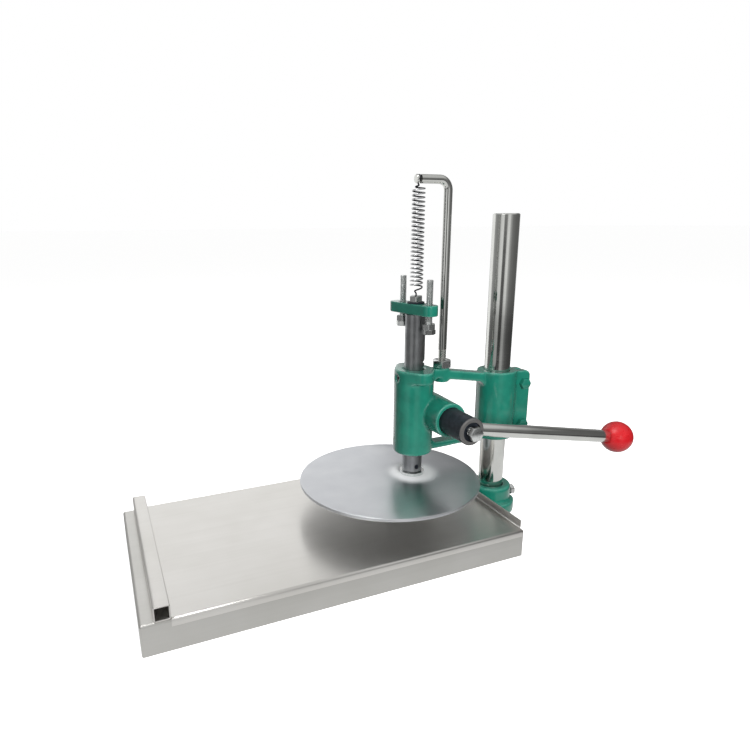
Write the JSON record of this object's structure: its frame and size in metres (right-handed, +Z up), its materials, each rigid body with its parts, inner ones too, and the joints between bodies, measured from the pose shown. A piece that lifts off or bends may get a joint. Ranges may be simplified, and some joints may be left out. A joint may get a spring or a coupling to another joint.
{
  "type": "hand lever dough press",
  "caption": "Hand lever dough press: a rack and pinion ram on a column lowers a round steel plate onto a board that slides out.",
  "frame": {"origin": "on the floor, under the axis of the ram", "axes": "+X from the ram to the column, -Y the operator's side, +Z up"},
  "size_m": [0.6172, 0.2388, 0.428],
  "materials": {
    "enamel": "green enamel on cast iron",
    "stainless_sheet": "satin stainless sheet",
    "chrome_plate": "polished chrome plate",
    "bright_steel": "zinc plated or turned steel",
    "black_steel": "black oxide on turned steel",
    "red_plastic": "glossy red moulded plastic"
  },
  "bodies": {
    "base": {"base_casting": "enamel", "column": "chrome_plate", "column_set_bolt": "bright_steel", "bed": "stainless_sheet", "bed_screws": "bright_steel"},
    "board": {"sliding_board": "stainless_sheet", "board_handle": "stainless_sheet"},
    "head": {"head_casting": "enamel", "clamp_bolts": "enamel", "clamp_nuts": "enamel", "guide_screw": "bright_steel", "spring_post": "chrome_plate", "spring_post_nut": "bright_steel", "return_spring": "bright_steel"},
    "ram": {"ram": "bright_steel", "press_plate": "stainless_sheet", "plate_hub": "bright_steel", "hub_set_screw": "black_steel", "stop_crossbar": "enamel", "spring_anchor": "bright_steel", "anchor_washer": "black_steel"},
    "stop_front": {"stop_bolt_front": "bright_steel", "stop_nut_front": "bright_steel"},
    "stop_rear": {"stop_bolt_rear": "bright_steel", "stop_nut_rear": "bright_steel"},
    "lever": {"pinion_shaft": "black_steel", "lever_rod": "chrome_plate", "lever_lock_bolt": "bright_steel", "ball_knob": "red_plastic", "thrust_washer": "bright_steel", "retaining_ring": "bright_steel"}
  },
  "joints": [
    {"name": "board_slide", "type": "slide", "parent": "base", "child": "board", "axis": [-1, 0, 0], "range_m": [0, 0.25]},
    {"name": "head_height", "type": "slide", "parent": "base", "child": "head", "axis": [0, 0, 1], "range_m": [0, 0.15]},
    {"name": "lever_turn", "type": "hinge", "parent": "head", "child": "lever", "pos_m": [0.02225, 0, 0.1525], "axis": [0, -1, 0], "range_deg": [0, 135]},
    {"name": "ram_slide", "type": "slide", "parent": "head", "child": "ram", "axis": [0, 0, -1], "range_m": [0, 0.032], "stiffness_N_per_m": 1700, "springref_m": -0.05, "deforming": ["return_spring"]},
    {"name": "stop_front_set", "type": "slide", "parent": "ram", "child": "stop_front", "axis": [0, 0, -1], "range_m": [-0.008, 0.011]},
    {"name": "stop_rear_set", "type": "slide", "parent": "ram", "child": "stop_rear", "axis": [0, 0, -1], "range_m": [-0.0035, 0.016]}
  ],
  "couplings": [
    {"joint": "ram_slide", "follows": "lever_turn", "m_per_rad": 0.0135}
  ]
}
